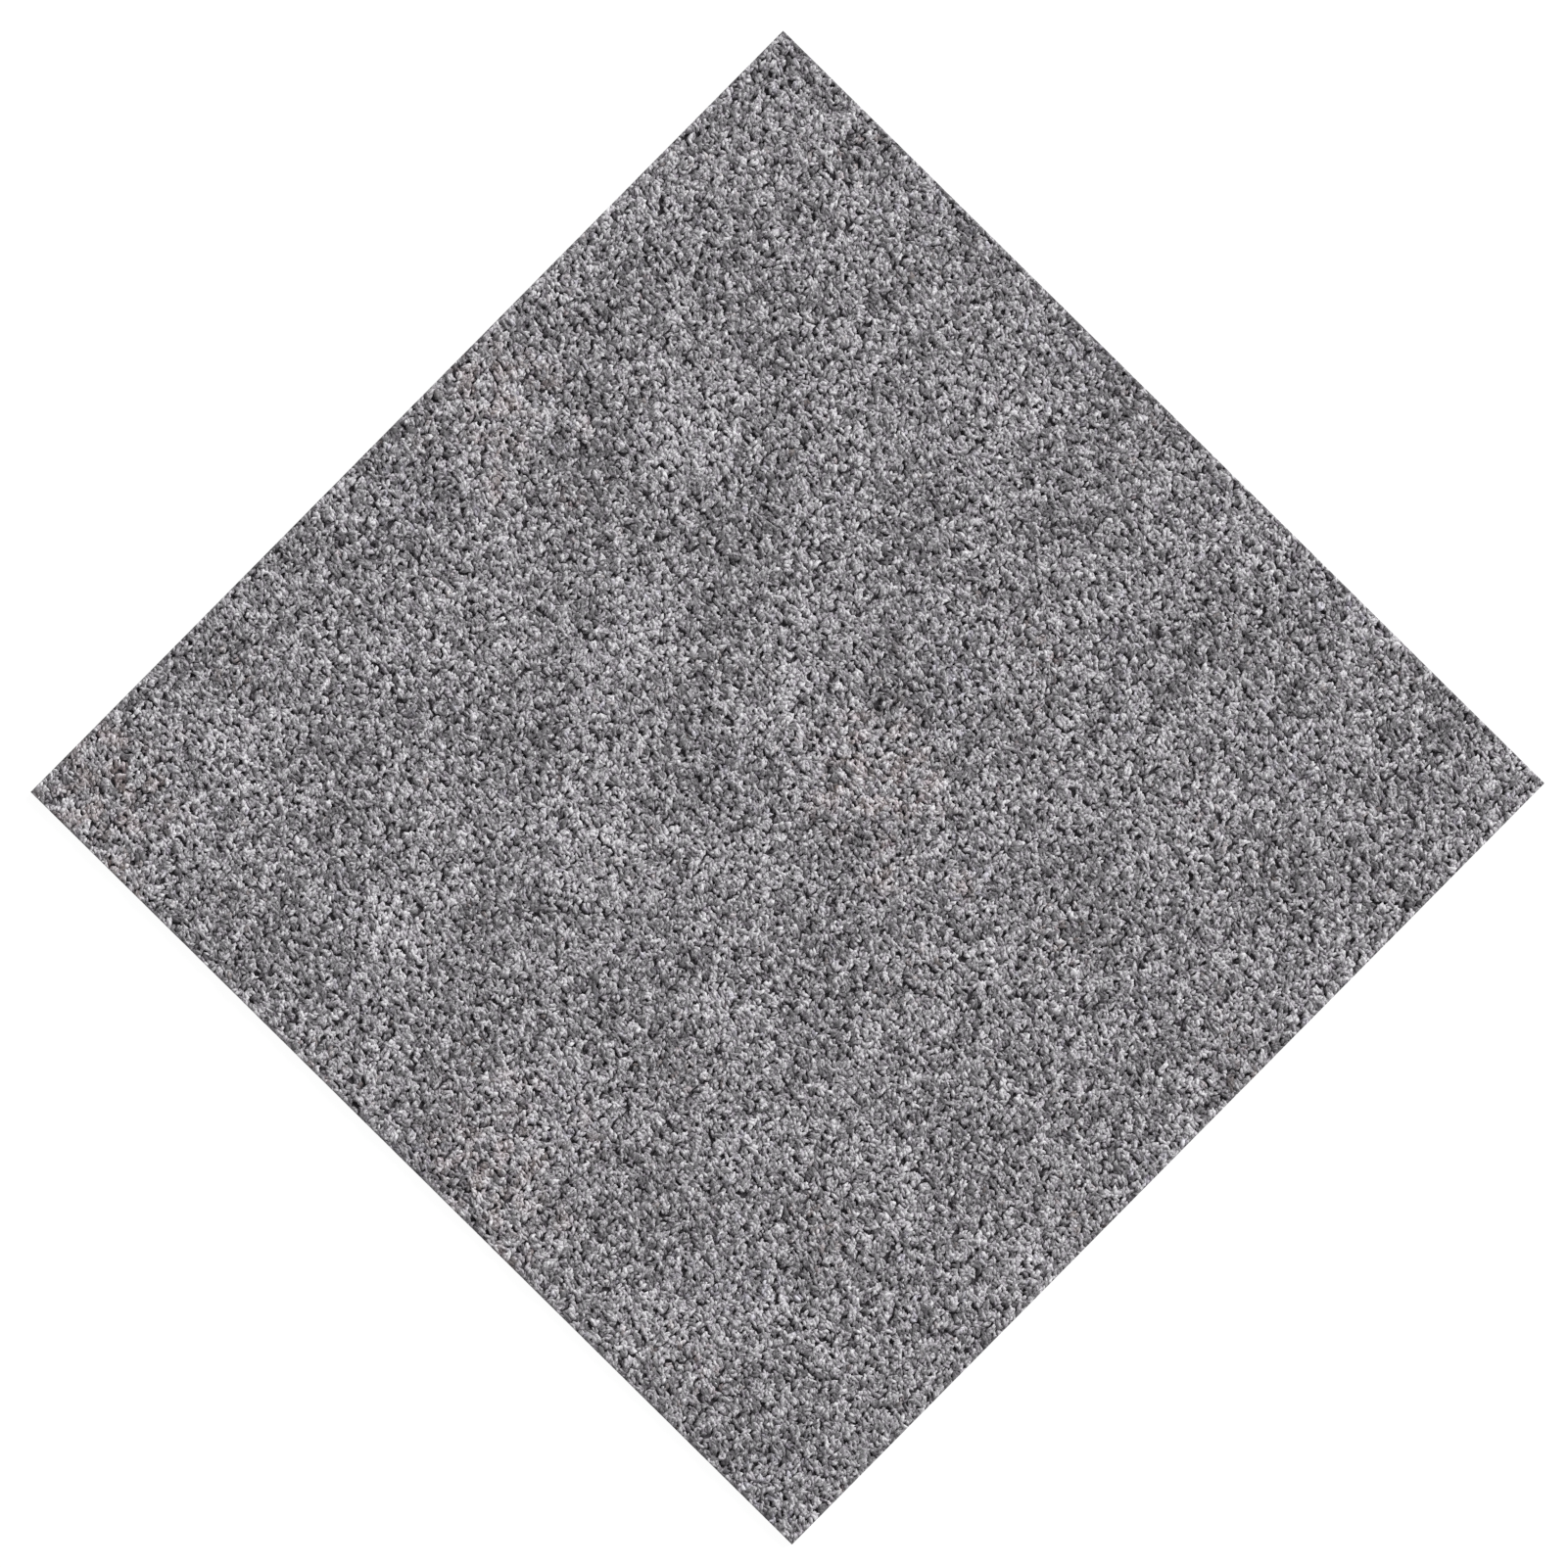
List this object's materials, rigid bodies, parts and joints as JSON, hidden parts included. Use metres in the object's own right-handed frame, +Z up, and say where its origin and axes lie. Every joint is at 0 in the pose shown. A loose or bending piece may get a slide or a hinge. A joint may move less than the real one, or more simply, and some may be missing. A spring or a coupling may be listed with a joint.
{
  "type": "carpet tile",
  "caption": "Square carpet tile with a dense heathered grey tufted pile on a heavy flat charcoal backing.",
  "frame": {"origin": "centre of the tile's underside, on the floor that it lies on", "axes": "+Z up out of the pile, X and Y square to the four cut edges, with the tufting rows along Y"},
  "size_m": [0.5, 0.5, 0.007],
  "materials": {
    "backing": "matte",
    "pile": "matte"
  },
  "bodies": {
    "root": {"backing": "backing", "pile": "pile"}
  },
  "joints": []
}
